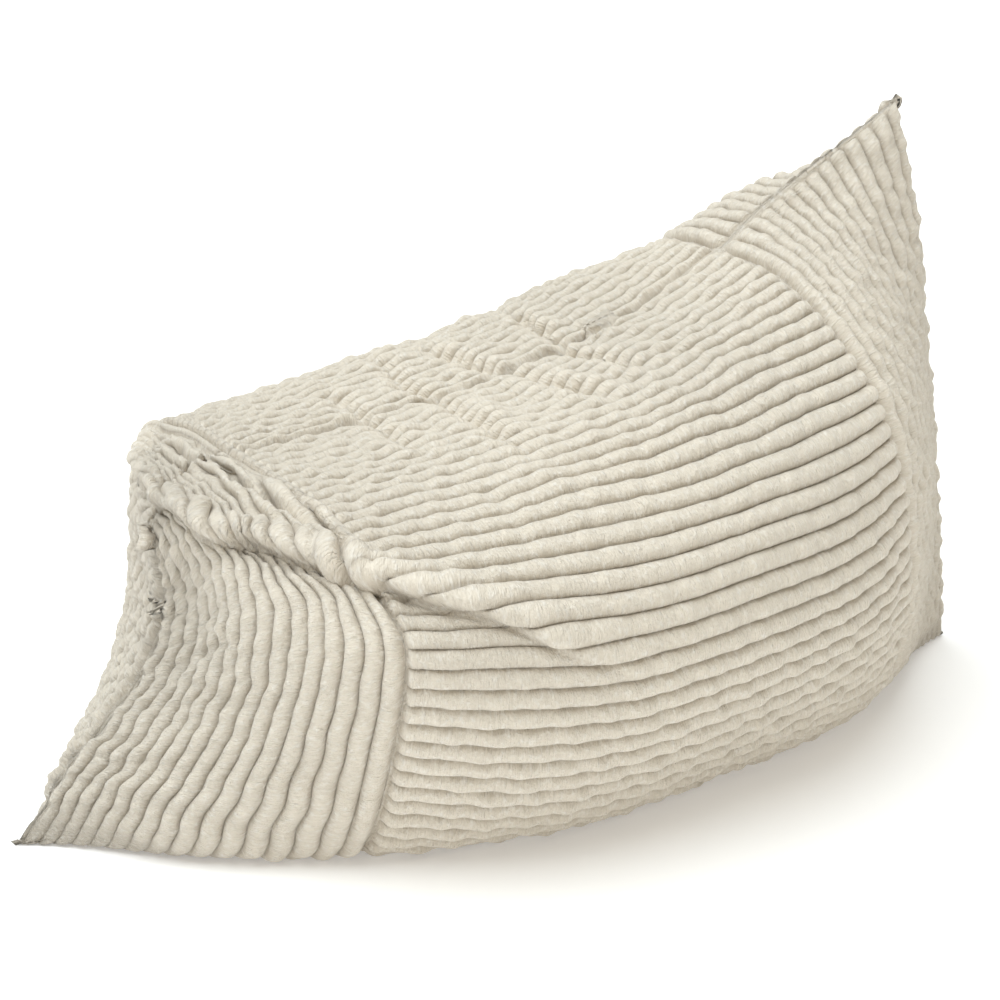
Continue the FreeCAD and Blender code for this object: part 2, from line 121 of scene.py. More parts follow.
# Creases: narrow valleys pressed into the cloth.
Crease = namedtuple("Crease", "side path depth width fade")
CREASES = [
    Crease(1, ((0.198, 1.02), (0.208, 0.99), (0.212, 0.92), (0.215, 0.885), (0.225, 0.833),
               (0.235, 0.780), (0.246, 0.738), (0.252, 0.708)), 0.034, 0.011, (0.02, 0.25)),
    Crease(-1, ((0.198, 1.02), (0.203, 0.945), (0.200, 0.88), (0.196, 0.84)),
           0.030, 0.011, (0.02, 0.5)),
    Crease(1, ((0.530, 1.01), (0.535, 0.993), (0.542, 0.925), (0.552, 0.853), (0.556, 0.80)),
           0.010, 0.012, (0.1, 0.4)),
    Crease(1, ((0.468, 1.01), (0.465, 0.983), (0.458, 0.880), (0.455, 0.797), (0.457, 0.75)),
           0.011, 0.013, (0.1, 0.4)),
    Crease(1, ((0.585, 1.01), (0.596, 0.95), (0.603, 0.89), (0.618, 0.83)),
           0.008, 0.010, (0.1, 0.4)),
    Crease(1, ((0.400, 1.01), (0.396, 0.93), (0.392, 0.86), (0.396, 0.80)),
           0.008, 0.011, (0.1, 0.5)),
    Crease(-1, ((0.530, 1.01), (0.522, 0.93), (0.518, 0.86), (0.520, 0.80)),
           0.010, 0.012, (0.1, 0.4)),
    Crease(-1, ((0.468, 1.01), (0.462, 0.92), (0.470, 0.86), (0.468, 0.79)),
           0.010, 0.012, (0.1, 0.4)),
    Crease(-1, ((0.400, 1.01), (0.405, 0.94), (0.398, 0.86)), 0.009, 0.012, (0.1, 0.5)),
    Crease(-1, ((0.600, 1.01), (0.604, 0.94), (0.612, 0.87), (0.610, 0.82)),
           0.009, 0.012, (0.1, 0.4)),
]


# ---------------------------------------------------------------- settings in the sidebar
def colour(name, description, default):
    return bpy.props.FloatVectorProperty(
        name=name, description=description, default=default, size=3, subtype="COLOR",
        min=0.0, max=1.0)


def length(name, description, default):
    return bpy.props.FloatProperty(
        name=name, description=description, default=default, min=0.0, unit="LENGTH")


class LoungerCover(bpy.types.PropertyGroup):
    rib_height: length("Rib height", "How far a cord rib stands above its valley", 0.0100)
    rib_drop: length("Rib valley", "How far a valley lies under the cover's surface", 0.0064)
    seam_depth: length("Seam depth", "How far the cloth draws in at a seam", 0.007)
    front_ribs: bpy.props.IntProperty(
        name="Front ribs", description="Ribs across the front strip", default=16, min=1)
    body_ribs: bpy.props.IntProperty(
        name="Body ribs", description="Ribs on one side of the body panel", default=45, min=1)
    rear_ribs: bpy.props.IntProperty(
        name="Rear ribs", description="Ribs across the rear strip", default=14, min=1)
    crease_share: bpy.props.FloatProperty(
        name="Creasing", description="Strength of the folds and creases", default=1.0,
        min=0.0, max=2.0, subtype="FACTOR")
    cloth_cap: length("Cloth travel", "The furthest that the cloth may move", 0.012)
    pile: colour("Pile", "Colour of the rib tops", (0.85, 0.78, 0.67))
    # The valley colour is painted shade: it darkens the cloth where the ribs sink between each
    # other.
    valley: colour("Valley", "Colour deep between the ribs", (0.50, 0.44, 0.36))


class LoungerTrim(bpy.types.PropertyGroup):
    tooth_pitch: length("Tooth pitch", "Distance between two zip teeth", 0.0032)
    stitch_pitch: length("Stitch pitch", "Distance between two seam stitches", 0.009)
    thread: colour("Thread", "Colour of the seam thread", (0.74, 0.68, 0.59))
    tape: colour("Zip tape", "Colour of the woven zip tape", (0.74, 0.68, 0.59))
    nylon: colour("Zip teeth", "Colour of the zip teeth", (0.72, 0.66, 0.57))
    metal: colour("Zip metal", "Colour of the slider and the puller", (0.62, 0.60, 0.57))
    liner: colour("Liner", "Colour of the inner cloth", (0.86, 0.86, 0.84))
    beads: colour("Beads", "Colour of the filling", (0.92, 0.92, 0.92))


# Height and shift along Y of the front edge, from the frame's edge to how the cloth settles,
# and the shares of the length between which that shift dies away.
FRONT_SHARE = (0.02, 0.24)
FRONT_EDGE_SHIFT = ((0.0, -0.022), (0.03, -0.030), (0.06, -0.029), (0.09, -0.022), (0.12, -0.010),
                    (0.15, 0.004), (0.18, 0.017), (0.21, 0.027), (0.24, 0.033), (0.27, 0.035),
                    (0.30, 0.032), (0.33, 0.025), (0.36, 0.014), (0.39, 0.004), (0.42, 0.0))
# The low flank draws in: where along the bag, over what reach, up to what height, how far.
FLANK_PLACE = 0.62
FLANK_REACH = 0.19
FLANK_TOP = 0.26
FLANK_DRAW = 0.040
# The far half of the backrest and the front edge stand out: how far, where and over what reach.
BACKREST_PUFF = 0.040
BACKREST_ALONG = (0.885, 0.075)
BACKREST_AROUND = (0.88, 0.09)
EAR_PUFF = 0.013
EAR_REACH = 0.035
# Shares of the length and of the way around between which folds and crumples set in.
EDGE_EASE = (0.004, 0.045)
CALM_BELOW = (0.15, 0.24)


# ---------------------------------------------------------------- small tools
def unit(vectors):
    """The vectors along the last axis, each made one long."""
    return vectors / (np.linalg.norm(vectors, axis=-1, keepdims=True) + 1e-12)


def hump(value, middle, reach):
    """A smooth rise to 1 at `middle` that dies away over `reach`."""
    return np.exp(-((value - middle) / reach) ** 2)


def step(low, high, value):
    """Rises smoothly from 0 at `low` to 1 at `high`."""
    t = np.clip((value - low) / (high - low), 0, 1)
    return t * t * (3 - 2 * t)


def new_object(name, data):
    """A new object of the scene."""
    item = bpy.data.objects.new(name, data)
    bpy.context.scene.collection.objects.link(item)
    return item


# ---------------------------------------------------------------- shape of the bag
def natural_spline(knots, values, at):
    """Cubic spline through `values` at `knots`, with free ends, read at `at`."""
    count = len(knots)
    gaps = np.diff(knots)
    flat = values.reshape(count, -1)
    matrix = np.eye(count)
    right = np.zeros_like(flat)
    for i in range(1, count - 1):
        matrix[i, i - 1:i + 2] = gaps[i - 1], 2 * (gaps[i - 1] + gaps[i]), gaps[i]
        right[i] = 6 * ((flat[i + 1] - flat[i]) / gaps[i] - (flat[i] - flat[i - 1]) / gaps[i - 1])
    bend = np.linalg.solve(matrix, right)
    j = np.clip(np.searchsorted(knots, at, side="right") - 1, 0, count - 2)
    gap = gaps[j][:, None]
    before = (knots[j + 1] - at)[:, None]
    after = (at - knots[j])[:, None]
    result = (bend[j] * before ** 3 + bend[j + 1] * after ** 3) / (6 * gap)
    result += (flat[j] / gap - bend[j] * gap / 6) * before
    result += (flat[j + 1] / gap - bend[j + 1] * gap / 6) * after
    return result.reshape((len(at),) + values.shape[1:])


def spline_basis(count, at, degree=3):
    """Weights of `count` clamped B-spline poles at each of `at`."""
    knots = np.concatenate([np.zeros(degree), np.linspace(0, 1, count - degree + 1),
                            np.ones(degree)])
    spans = len(knots) - 1
    weights = np.zeros((len(at), spans))
    inside = np.clip(np.searchsorted(knots, at, side="right") - 1, degree, count - 1)
    weights[np.arange(len(at)), inside] = 1
    for level in range(1, degree + 1):
        raised = np.zeros_like(weights)
        for i in range(spans - level):
            for k, sign in ((i, 1), (i + 1, -1)):
                span = knots[k + level] - knots[k]
                if span > 0:
                    share = (at - knots[k]) / span
                    raised[:, i] += (share if sign > 0 else 1 - share) * weights[:, k]
        weights = raised
    return weights[:, :count]


def station_poles(side):
    """The seven poles of each station's half outline, from the floor up to the ridge."""
    half = BAG_WIDTH / 2
    rows = []
    for s in STATIONS:
        ridge = SEAT_HEIGHT + s.rise * (PEAK_HEIGHT - SEAT_HEIGHT)
        lean = s.ridge_x * half
        contact, foot, low, middle, high, crown = (half * w for w in s.wide)
        low_z, middle_z, high_z, crown_z = (ridge * h for h in s.high)
        outline = [(side * contact, 0), (side * foot, FOOT_LIFT), (side * low, low_z),
                   (side * middle, middle_z), (side * high, high_z),
                   (side * crown + lean, crown_z), (lean, ridge)]
        row = []
        for x, z in outline:
            up = 1 - (1 - min(max(z / ridge, 0), 1)) ** s.curl
            y = (s.floor_y + (s.ridge_y - s.floor_y) * up) * BAG_LENGTH / 2
            row.append((x, y, z))
        rows.append(row)
    return np.array(rows)


def bag_surface(side):
    """Points of one half of the bag on the working grid, evenly spaced around each section."""
    knots = np.array([s.along for s in STATIONS])
    poles = natural_spline(knots, station_poles(side), ALONG)
    basis = spline_basis(7, np.linspace(0, 1, 1600))
    curves = np.einsum("qi,sij->sqj", basis, poles)
    across = np.linspace(0, 1, 40, endpoint=False)[:, None]
    points = np.zeros((len(ALONG), len(AROUND), 3))
    for i, curve in enumerate(curves):
        middle = curve[0] * (0, 1, 1)
        curve = np.concatenate([middle * (1 - across) + curve[0] * across, curve])
        run = np.concatenate([[0], np.cumsum(np.linalg.norm(np.diff(curve, axis=0), axis=1))])
        for axis in range(3):
            points[i, :, axis] = np.interp(AROUND * run[-1], run, curve[:, axis])
    return points


def directions(points, side):
    """Unit vectors outwards, along and around at every point of the grid."""
    along = np.gradient(points, axis=0)
    around = np.gradient(points, axis=1)
    out = np.cross(along, around) * side
    return [unit(v) for v in (out, along, around)]


def settle_outline(points, side):
    """Moves the front edge and the low rear flank from the plain frame shape to how they rest."""
    front = 1 - step(*FRONT_SHARE, A)
    heights, shifts = np.array(FRONT_EDGE_SHIFT).T
    low = np.clip(points[..., 2], 0, heights[-1])
    moved = points.copy()
    moved[..., 1] += front * np.interp(low, heights, shifts)
    flank = hump(A, FLANK_PLACE, FLANK_REACH) * (1 - step(0.0, FLANK_TOP, points[..., 2]))
    moved[..., 0] -= side * flank * FLANK_DRAW * step(0.05, 0.2, W)
    return moved


def match_ridge(normals):
    """Turns both halves' outward directions to one shared direction at the ridge and the floor."""
    near = np.clip((W - 0.97) / 0.03, 0, 1)[..., None] + np.clip((0.02 - W) / 0.02, 0, 1)[..., None]
    near = near * near * (3 - 2 * near)
    for column in (-1, 0):
        shared = unit(normals[1][:, column] + normals[-1][:, column])
        part = near * (W > 0.5 if column == -1 else W < 0.5)[..., None]
        for side in (1, -1):
            normals[side] = unit(normals[side] * (1 - part) + shared[:, None] * part)


# ---------------------------------------------------------------- small grid tools
def cubic_weights(cells, at):
    """Matrix that reads a row of cells + 1 evenly spaced values at `at`, smoothly."""
    place = np.clip(np.asarray(at, float), 0, 1) * cells
    base = np.clip(np.floor(place).astype(int), 0, cells - 1)
    t = place - base
    parts = (-0.5 * t + t * t - 0.5 * t ** 3, 1 - 2.5 * t * t + 1.5 * t ** 3,
             0.5 * t + 2 * t * t - 1.5 * t ** 3, -0.5 * t * t + 0.5 * t ** 3)
    matrix = np.zeros((len(place), cells + 1))
    rows = np.arange(len(place))
    for shift, part in zip((-1, 0, 1, 2), parts):
        np.add.at(matrix, (rows, np.clip(base + shift, 0, cells)), part)
    return matrix


def read_grid(grid, along, around):
    """The grid's values at every pair of `along` and `around`."""
    rows = cubic_weights(grid.shape[0] - 1, along)
    columns = cubic_weights(grid.shape[1] - 1, around)
    return np.einsum("ai,ijk,wj->awk", rows, grid.reshape(grid.shape[:2] + (-1,)), columns,
                     optimize=True)


def lumps(seed, along_cells, around_cells):
    """Smooth seeded unevenness from about -1 to 1."""
    random = np.random.default_rng(seed)
    grid = random.uniform(-1, 1, (along_cells + 1, around_cells + 1))
    return read_grid(grid, ALONG, AROUND)[..., 0]


def along_path(path, points=90):
    """A path's points made into one smooth line, and each point's share of its length."""
    path = np.array(path, float)
    run = np.concatenate([[0], np.cumsum(np.linalg.norm(np.diff(path, axis=0), axis=1))])
    at = np.linspace(0, 1, points)
    return natural_spline(run / run[-1], path, at), at


def path_distance(path, along, around):
    """Signed cloth distance from a path, positive towards the ridge, and the nearest share."""
    line, share = along_path(path)
    scale = np.array((CLOTH_LENGTH, CLOTH_GIRTH))
    line = line * scale
    here = np.stack([along, around], -1) * scale
    nearest = np.full(along.shape, 1e9)
    signed = np.zeros(along.shape)
    place = np.zeros(along.shape)
    for i in range(len(line) - 1):
        edge = line[i + 1] - line[i]
        t = np.clip(((here - line[i]) @ edge) / (edge @ edge), 0, 1)
        gap = here - (line[i] + t[..., None] * edge)
        far = np.linalg.norm(gap, axis=-1)
        closer = far < nearest
        nearest = np.where(closer, far, nearest)
        sign = np.sign(edge[0] * gap[..., 1] - edge[1] * gap[..., 0])
        signed = np.where(closer, far * sign, signed)
        place = np.where(closer, share[i] + t * (share[i + 1] - share[i]), place)
    return signed, place


# ---------------------------------------------------------------- folds and creases
def fold_moves(side, strength):
    """How far the folds move each grid point, outwards and along the cloth, and the ribs' share."""
    out = np.zeros(A.shape)
    down = np.zeros(A.shape + (2,))
    ribs = np.ones(A.shape)
    for fold in FOLDS:
        if fold.side != side:
            continue
        gap, place = path_distance(fold.path, A, W)
        force = step(0, fold.fade[0], place) * step(0, fold.fade[1], 1 - place) * strength
        lip = hump(gap, 0.7 * fold.reach, fold.reach)
        below = gap + 0.25 * fold.reach
        under = np.where(below < 0, np.exp(below / (2.6 * fold.reach)),
                         np.exp(-(below / (0.45 * fold.reach)) ** 2))
        out += force * (fold.bulge * lip - fold.depth * under)
        body = step(FRONT_SEAM, FRONT_SEAM + 0.02, A)
        ribs *= 1 - 0.55 * body * np.minimum(1, force) * under
        ribs *= 1 - np.minimum(1, force) * hump(gap, -0.12 * fold.reach, 0.30 * fold.reach)
        edge = force * fold.over * hump(gap, 0.35 * fold.reach, 0.8 * fold.reach)
        slope = unit(np.stack([np.gradient(gap, axis=0), np.gradient(gap, axis=1)], -1))
        down += edge[..., None] * -slope
    for crease in CREASES:
        if crease.side != side:
            continue
        gap, place = path_distance(crease.path, A, W)
        force = step(0, crease.fade[0], place) * step(0, crease.fade[1], 1 - place) * strength
        out -= force * crease.depth * np.exp(-np.abs(gap / crease.width) ** 1.6)
        out += force * 0.35 * crease.depth * hump(np.abs(gap), 2.2 * crease.width,
                                                  1.3 * crease.width)
    return out, down, ribs


def seat_share(along, around):
    """1 in the middle of the seat, fading to 0 on the sides and towards the seams."""
    return (step(0.60, 0.78, around) * step(0.27, 0.36, along) * (1 - step(0.66, 0.76, along)))


def buckles(side):
    """Small crumples: beads on the front strip, wandering dents on the seat and the rear."""
    seed = 11 if side > 0 else 31
    front = 1 - step(0.21, 0.26, A)
    rear = step(0.77, 0.82, A)
    row = lumps(seed, 30, 26)
    fine = lumps(seed + 1, 60, 60)
    seat = seat_share(A, W)
    out = 0.0035 * front * row + 0.002 * rear * fine
    out += seat * (0.0050 * lumps(seed + 2, 26, 10) + 0.0025 * lumps(seed + 3, 50, 26))
    out += 0.0015 * lumps(seed + 4, 14, 12)
    return out * np.sin(math.pi * np.clip(W, 0, 1)) ** 0.3


def wander(side):
    """How far the ribs wander sideways: along the bag, and around it."""
    seed = 71 if side > 0 else 91
    front = 1 - step(0.20, 0.25, A)
    rear = step(0.80, 0.84, A)
    seat = seat_share(A, W)
    body = step(0.26, 0.30, A) * (1 - step(0.75, 0.78, A))
    along = 0.0045 * front * lumps(seed, 8, 26) + 0.003 * rear * lumps(seed + 1, 10, 22)
    around = seat * (0.0085 * lumps(seed + 2, 20, 9) + 0.003 * lumps(seed + 3, 44, 20))
    return along, around + body * 0.0022 * lumps(seed + 4, 18, 16)


# ---------------------------------------------------------------- cloth simulation
CLOTH_SETTINGS = dict(
    quality=6, mass=0.4, tension_stiffness=18, compression_stiffness=18, shear_stiffness=8,
    bending_stiffness=0.6, use_pressure=True, uniform_pressure_force=1.2,
    vertex_group_mass="held", pin_stiffness=1.0, vertex_group_shrink="growth", shrink_min=0.0,
    shrink_max=-0.07)
HELD_BELOW = 0.17


def closed_loop(halves):
    """Both halves' rows joined into one ring, up one side and down the other."""
    return np.concatenate([halves[1], halves[-1][:, -2:0:-1]], axis=1)


def ring_faces(rows, columns):
    """The four corners of every face of a net whose columns close on themselves."""
    i, j = (v.ravel() for v in np.meshgrid(np.arange(rows - 1), np.arange(columns),
                                           indexing="ij"))
    k = (j + 1) % columns
    return np.stack([i * columns + j, (i + 1) * columns + j, (i + 1) * columns + k,
                     i * columns + k], 1).tolist()


def settle_cloth(surfaces, cap):
    """Inflates the cover as cloth over the beads, and gives how far each half's points move."""
    along = np.linspace(0, 1, SIM_ALONG + 1)
    around = np.linspace(0, 1, SIM_AROUND + 1)
    loop = closed_loop({s: read_grid(surfaces[s], along, around) for s in (1, -1)})
    rows, columns = loop.shape[:2]
    mesh = bpy.data.meshes.new("cover_net")
    mesh.from_pydata(loop.reshape(-1, 3).tolist(), [], ring_faces(rows, columns))
    net = new_object("cover_net", mesh)
    growth = net.vertex_groups.new(name="growth")
    held = net.vertex_groups.new(name="held")
    for i in range(rows):
        along = i / (rows - 1)
        for j in range(columns):
            half = min(j, columns - j) / SIM_AROUND
            index = i * columns + j
            seat = float(seat_share(np.array(along), np.array(half)))
            lower = 0.35 * (1 - float(step(0.22, 0.26, np.array(along))))
            growth.add([index], min(1.0, 0.15 + seat + lower), "REPLACE")
            if half < HELD_BELOW or i in (0, rows - 1):
                held.add([index], 1.0, "REPLACE")
    cloth = net.modifiers.new("cloth", "CLOTH")
    for setting, value in CLOTH_SETTINGS.items():
        setattr(cloth.settings, setting, value)
    cloth.settings.effector_weights.gravity = 0
    cloth.collision_settings.use_collision = False
    cloth.collision_settings.use_self_collision = False
    cloth.point_cache.frame_start = 1
    cloth.point_cache.frame_end = SIM_FRAMES
    scene = bpy.context.scene
    for number in range(1, SIM_FRAMES + 1):
        scene.frame_set(number)
    settled = net.evaluated_get(bpy.context.evaluated_depsgraph_get())
    moved = np.zeros(rows * columns * 3)
    settled.data.vertices.foreach_get("co", moved)
    scene.frame_set(1)
    bpy.data.objects.remove(net)
    bpy.data.meshes.remove(mesh)
    travel = moved.reshape(rows, columns, 3) - loop
    far = np.linalg.norm(travel, axis=2, keepdims=True)
    travel *= np.tanh(far / cap) * cap / np.maximum(far, 1e-9)
    moves = {1: travel[:, :SIM_AROUND + 1]}
    moves[-1] = np.concatenate([travel[:, :1], travel[:, :SIM_AROUND - 1:-1]], axis=1)
    return {side: read_grid(moves[side], ALONG, AROUND) for side in (1, -1)}


# ---------------------------------------------------------------- the worked cloth
cloth_store = {}


def work_cloth(cover):
    """The bag's surface with its settled cloth, folds and crumples, and its directions."""
    if cloth_store:
        return cloth_store
    plain = {side: settle_outline(bag_surface(side), side) for side in (1, -1)}
    surfaces = dict(plain)
    settled = settle_cloth(surfaces, cover.cloth_cap)
    frames = {side: directions(surfaces[side], side) for side in (1, -1)}
    normals = {side: frames[side][0] for side in (1, -1)}
    match_ridge(normals)
    ribs = {}
    for side in (1, -1):
        _, along, around = frames[side]
        out, down, ribs[side] = fold_moves(side, cover.crease_share)
        ease = step(*EDGE_EASE, A)
        out = out * ease
        down = down * ease[..., None]
        out = out + buckles(side) * cover.crease_share
        out = out + EAR_PUFF * hump(A, 0, EAR_REACH)
        if side < 0:
            out = out + BACKREST_PUFF * hump(A, *BACKREST_ALONG) * hump(W, *BACKREST_AROUND)
        shift_along, shift_around = wander(side)
        down[..., 0] += shift_along * cover.crease_share
        down[..., 1] += shift_around * cover.crease_share
        calm = step(*CALM_BELOW, W)[..., None]
        surfaces[side] = surfaces[side] + calm * (
            settled[side] + normals[side] * out[..., None]
            + along * down[..., 0:1] + around * down[..., 1:2])
    for edge in (0, -1):
        shared = (surfaces[1][:, edge] + surfaces[-1][:, edge]) / 2
        for side in (1, -1):
            surfaces[side][:, edge] = shared
    bent = {side: directions(surfaces[side], side)[0] for side in (1, -1)}
    match_ridge(bent)
    sunk = {side: np.minimum(0, ((surfaces[side] - plain[side]) * normals[side]).sum(-1))
            for side in (1, -1)}
    cloth_store.update(surface=surfaces, normal=bent, plain=plain, upright=normals, sunk=sunk,
                       ribs=ribs)
    return cloth_store


def cloth_at(side, along, around, layer="surface", outward="normal"):
    """Points and unit directions outwards of the worked cloth at these places."""
    cloth = work_cloth(bpy.context.scene.lounger_cover)
    points = read_grid(cloth[layer][side], along, around)
    return points, unit(read_grid(cloth[outward][side], along, around))


def rib_places(start, end, ribs):
    """Grid places across `ribs` cord ribs, closer together in the valleys."""
    phase = np.array([r + s for r in range(ribs) for s in RIB_STEPS] + [ribs], float)
    return start + (end - start) * phase / ribs, phase


def rib_shape(phase):
    """Height of a rib from 0 in its valley to 1 on its crown."""
    across = np.abs(2 * (phase - np.floor(phase)) - 1)
    return (1 - across ** 2.4) ** 0.62


def seam_gap(along, around, edges, ridge=True):
    """Cloth distance to the nearest seam of a panel."""
    gap = np.full(np.broadcast(along, around).shape, 1.0)
    for edge in edges:
        gap = np.minimum(gap, np.abs(along - edge) * CLOTH_LENGTH)
    if ridge:
        gap = np.minimum(gap, (1 - around) * CLOTH_GIRTH)
    return gap


# The two smooth rolls along the upper front seam: their width, height and where they set in.
WELT_WIDTH = 0.031
WELT_HEIGHT = 0.0165
WELT_FROM = {1: (0.57, 0.66), -1: (0.66, 0.75)}


def seam_welts(side, along, around):
    """Share of rib smoothed away and height of the two fat rolls along the upper front seam."""
    top = step(*WELT_FROM[side], around)
    gap = np.abs(along - FRONT_SEAM) * CLOTH_LENGTH
    across = (gap - WELT_WIDTH / 2) / (WELT_WIDTH / 2)
    welt = WELT_HEIGHT * np.sqrt(np.clip(1 - across ** 2, 0, 1))
    return top * (1 - step(0.85 * WELT_WIDTH, 1.25 * WELT_WIDTH, gap)), top * welt


PANELS = {
    "front": dict(start=0.0, end=FRONT_SEAM, across=True, steps=170),
    "body": dict(start=FRONT_SEAM, end=REAR_SEAM, across=False, steps=210),
    "rear": dict(start=REAR_SEAM, end=1.0, across=True, steps=170),
}


def panel_points(kind, side, cover):
    """Outer points of one cover panel, its cloth coordinates and its rib height."""
    panel = PANELS[kind]
    cloth = work_cloth(cover)
    ribs = {"front": cover.front_ribs, "body": cover.body_ribs, "rear": cover.rear_ribs}[kind]
    if panel["across"]:
        along, phase = rib_places(panel["start"], panel["end"], ribs)
        around = np.linspace(0, 1, panel["steps"] + 1)
        phase = phase[:, None] * np.ones_like(around)
    else:
        around, phase = rib_places(0.0, 1.0, ribs)
        along = np.linspace(panel["start"], panel["end"], panel["steps"] + 1)
        phase = np.ones_like(along)[:, None] * phase
    points, normal = cloth_at(side, along, around)
    here_along, here_around = np.meshgrid(along, around, indexing="ij")
    gap = seam_gap(here_along, here_around, (panel["start"], panel["end"]))
    shape = rib_shape(phase)
    number = np.floor(phase - 1e-9)
    seed = {"front": 3, "body": 5, "rear": 7}[kind] + (0 if side > 0 else 50)
    uneven = rib_unevenness(seed, number, here_along, here_around, panel["across"])
    shape = shape * np.clip(read_grid(cloth["ribs"][side], along, around)[..., 0], 0, 1)
    height = cover.rib_height * shape * (1 + uneven)
    if panel["across"]:
        tame = step(0.0, 0.012, (1 - here_around) * CLOTH_GIRTH)
    else:
        tame = step(0.0, 0.014, gap)
    clear = np.maximum(step(0.16, 0.23, here_around), step(0.015, 0.06, points[..., 2]))
    tame = tame * (0.35 + 0.65 * clear)
    ridge_only = step(0.0, 0.02, seam_gap(here_along, here_around,
                                          (panel["start"], panel["end"]), ridge=False))
    pinch = cover.seam_depth * np.exp(-(gap / 0.007) ** 1.5) * (1 - 0.55 * ridge_only)
    smooth, welt = seam_welts(side, here_along, here_around)
    rise = height * tame * (1 - smooth) + welt - cover.rib_drop - pinch * clear
    lifted = points + normal * rise[..., None]
    lifted[..., 2] = np.maximum(lifted[..., 2], 0.0)
    middle = points[:, -1:, 0] * here_around ** 2
    apart = np.maximum(side * (lifted[..., 0] - middle), 0.0)
    narrow = (here_along < NARROW_FRONT) | (here_along > NARROW_REAR)
    lifted[..., 0] = np.where(narrow, middle + side * apart, lifted[..., 0])
    # The last value, the rib share, also sets how much painted valley shade the plush colour gets.
    return along, around, points, normal, lifted, shape * tame


# Ends of the bag where the two halves come close enough to be kept apart.
NARROW_FRONT = 0.12
NARROW_REAR = 0.90
# The cover's wall where it runs out at an end, and half the seam left between two turned ends.
THIN_EDGE = 0.002
SEAM_HALF = 0.0015

# Rows that turn an end edge in: share of the way to the seam, sink, share of the zip's opening.
CLOSING_TURN = {
    "front": ((0.40, -0.007, 1), (0.80, -0.009, 1), (0.97, -0.005, 1), (1.0, 0.004, 1)),
    "rear": ((0.45, -0.002, 1), (1.0, 0.0012, 1), (1.0, 0.005, 1), (1.0, 0.010, 1),
             (1.0, 0.0165, 1), (1.0, 0.0170, 0)),
}
# Directions along the leaning rear seam and out of it.
REAR_SEAM_UP = np.array((0.0, -0.17546, 0.98449))
REAR_SEAM_OUT = (0, 0.98449, 0.17546)
# The zip's opening: half its width, where it starts and ends along the seam, and its taper.
ZIP_SLOT = 0.0140
ZIP_LOW = 0.086
ZIP_HIGH = 0.600
ZIP_EASE = 0.012


def close_end(outer, inner, side, outward, opening, turns):
    """Rows that turn a panel's end edge in to the closing seam, outside and inside."""
    rows, backs = [], []
    for share, sink, parted in turns:
        row = outer.copy()
        row[:, 0] = outer[:, 0] + (side * opening * parted - outer[:, 0]) * share
        row -= np.outer(np.full(len(row), sink), outward)
        rows.append(row)
    for number in range(len(rows)):
        part = (number + 1) / len(rows)
        backs.append(inner * (1 - part) + (rows[-1] + (side * SEAM_HALF, 0, 0)) * part)
    return np.array(rows), np.array(backs)


def zip_opening(points):
    """Half width of the gap between the panels along the rear seam, for the zip."""
    up = (points - (0.0, BAG_LENGTH / 2, 0.0)) @ REAR_SEAM_UP
    inside = step(ZIP_LOW - ZIP_EASE, ZIP_LOW, up) * (1 - step(ZIP_HIGH, ZIP_HIGH + ZIP_EASE, up))
    return ZIP_SLOT * inside


def rib_unevenness(seed, number, along, around, across):
    """Each rib's own swelling and thinning along its length."""
    random = np.random.default_rng(seed)
    count = int(number.max()) + 2
    run = around * CLOTH_GIRTH if across else along * CLOTH_LENGTH
    total = np.zeros(run.shape)
    for wave, share in ((0.058, 0.16), (0.031, 0.08), (0.11, 0.10)):
        shift = random.uniform(0, 2 * math.pi, count)
        stretch = random.uniform(0.8, 1.25, count)
        index = np.clip(number.astype(int), 0, count - 1)
        total += share * np.sin(2 * math.pi * run / wave * stretch[index] + shift[index])
    return total


